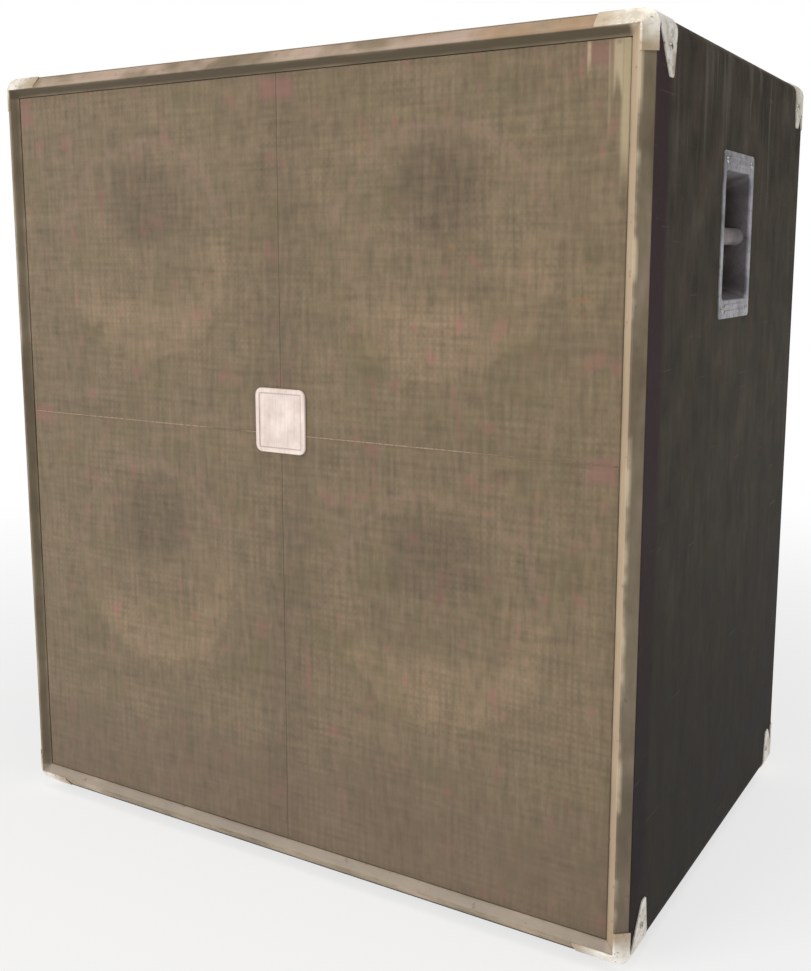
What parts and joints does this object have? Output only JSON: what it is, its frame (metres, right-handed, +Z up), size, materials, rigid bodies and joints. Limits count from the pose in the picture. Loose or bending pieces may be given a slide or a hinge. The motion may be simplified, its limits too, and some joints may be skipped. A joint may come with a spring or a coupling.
{
  "type": "pa speaker cabinet",
  "caption": "Large free-standing bass cabinet with round woofers behind a pull-off cloth grille, steel corners and a recessed bar handle on each side.",
  "frame": {"origin": "on the floor, under the middle of the cabinet", "axes": "+X to the right seen from the front, +Y from the front to the back, +Z up"},
  "size_m": [0.9836, 0.6778, 1.0822],
  "materials": {
    "ply_black": "matt black paint on birch plywood",
    "ply_bare": "bare birch plywood",
    "vinyl": "grained charcoal covering",
    "trim": "worn tan enamel",
    "cloth": "tweed grille cloth",
    "badge": "brushed, satin",
    "corner_steel": "satin warm grey",
    "handle_steel": "satin grey-blue",
    "plate_steel": "satin black",
    "grip": "matt",
    "zinc": "zinc plated",
    "foot_rubber": "matt",
    "basket": "satin dark grey",
    "magnet": "ferrite, matt",
    "pole_steel": "zinc plated",
    "cone_paper": "ribbed paper pulp",
    "cap_paper": "paper pulp",
    "coil": "former with winding",
    "edge_rubber": "matt",
    "spider_cloth": "resin-dipped cloth",
    "wadding": "polyester wadding",
    "cable": "matt",
    "jack": "moulded",
    "terminal": "phenolic board",
    "catch_plastic": "moulded"
  },
  "bodies": {
    "cabinet": {"top_panel": "ply_bare", "bottom_panel": "ply_bare", "left_side_panel": "ply_bare", "right_side_panel": "ply_bare", "vinyl_covering": "vinyl", "trim_top": "trim", "trim_bottom": "trim", "trim_left": "trim", "trim_right": "trim", "baffle_board": "ply_black", "port_boards": "ply_black", "centre_brace": "ply_bare", "side_braces": "ply_bare", "panel_cleats": "ply_bare", "back_panel": "ply_black", "damping_pads": "wadding", "handle_dish_left": "handle_steel", "handle_dish_right": "handle_steel", "handle_grip_left": "grip", "handle_grip_right": "grip", "handle_rods": "zinc", "front_corners": "corner_steel", "rear_corners": "corner_steel", "wood_screws": "zinc", "rubber_feet": "foot_rubber", "input_plate": "plate_steel", "input_jacks": "jack", "wiring_leads": "cable", "woofer_baskets": "basket", "top_plates": "pole_steel", "magnet_rings": "magnet", "pole_yokes": "pole_steel", "woofer_bolts": "zinc", "tee_nuts": "zinc", "woofer_terminals": "terminal", "grille_sockets": "catch_plastic"},
    "grille": {"grille_frame": "ply_black", "grille_cloth": "cloth", "badge": "badge", "grille_studs": "catch_plastic"},
    "upper_left_cone": {"upper_left_cone": "cone_paper", "upper_left_dust_cap": "cap_paper", "upper_left_voice_coil": "coil", "upper_left_surround": "edge_rubber", "upper_left_spider": "spider_cloth"},
    "upper_right_cone": {"upper_right_cone": "cone_paper", "upper_right_dust_cap": "cap_paper", "upper_right_voice_coil": "coil", "upper_right_surround": "edge_rubber", "upper_right_spider": "spider_cloth"},
    "lower_left_cone": {"lower_left_cone": "cone_paper", "lower_left_dust_cap": "cap_paper", "lower_left_voice_coil": "coil", "lower_left_surround": "edge_rubber", "lower_left_spider": "spider_cloth"},
    "lower_right_cone": {"lower_right_cone": "cone_paper", "lower_right_dust_cap": "cap_paper", "lower_right_voice_coil": "coil", "lower_right_surround": "edge_rubber", "lower_right_spider": "spider_cloth"}
  },
  "joints": [
    {"name": "grille_pull", "type": "slide", "parent": "cabinet", "child": "grille", "axis": [0, -1, 0], "range_m": [0, 0.06]},
    {"name": "upper_left_stroke", "type": "slide", "parent": "cabinet", "child": "upper_left_cone", "axis": [0, -1, 0], "range_m": [-0.008, 0.008], "stiffness_N_per_m": 3500, "deforming": ["upper_left_surround", "upper_left_spider"]},
    {"name": "upper_right_stroke", "type": "slide", "parent": "cabinet", "child": "upper_right_cone", "axis": [0, -1, 0], "range_m": [-0.008, 0.008], "stiffness_N_per_m": 3500, "deforming": ["upper_right_surround", "upper_right_spider"]},
    {"name": "lower_left_stroke", "type": "slide", "parent": "cabinet", "child": "lower_left_cone", "axis": [0, -1, 0], "range_m": [-0.008, 0.008], "stiffness_N_per_m": 3500, "deforming": ["lower_left_surround", "lower_left_spider"]},
    {"name": "lower_right_stroke", "type": "slide", "parent": "cabinet", "child": "lower_right_cone", "axis": [0, -1, 0], "range_m": [-0.008, 0.008], "stiffness_N_per_m": 3500, "deforming": ["lower_right_surround", "lower_right_spider"]}
  ]
}
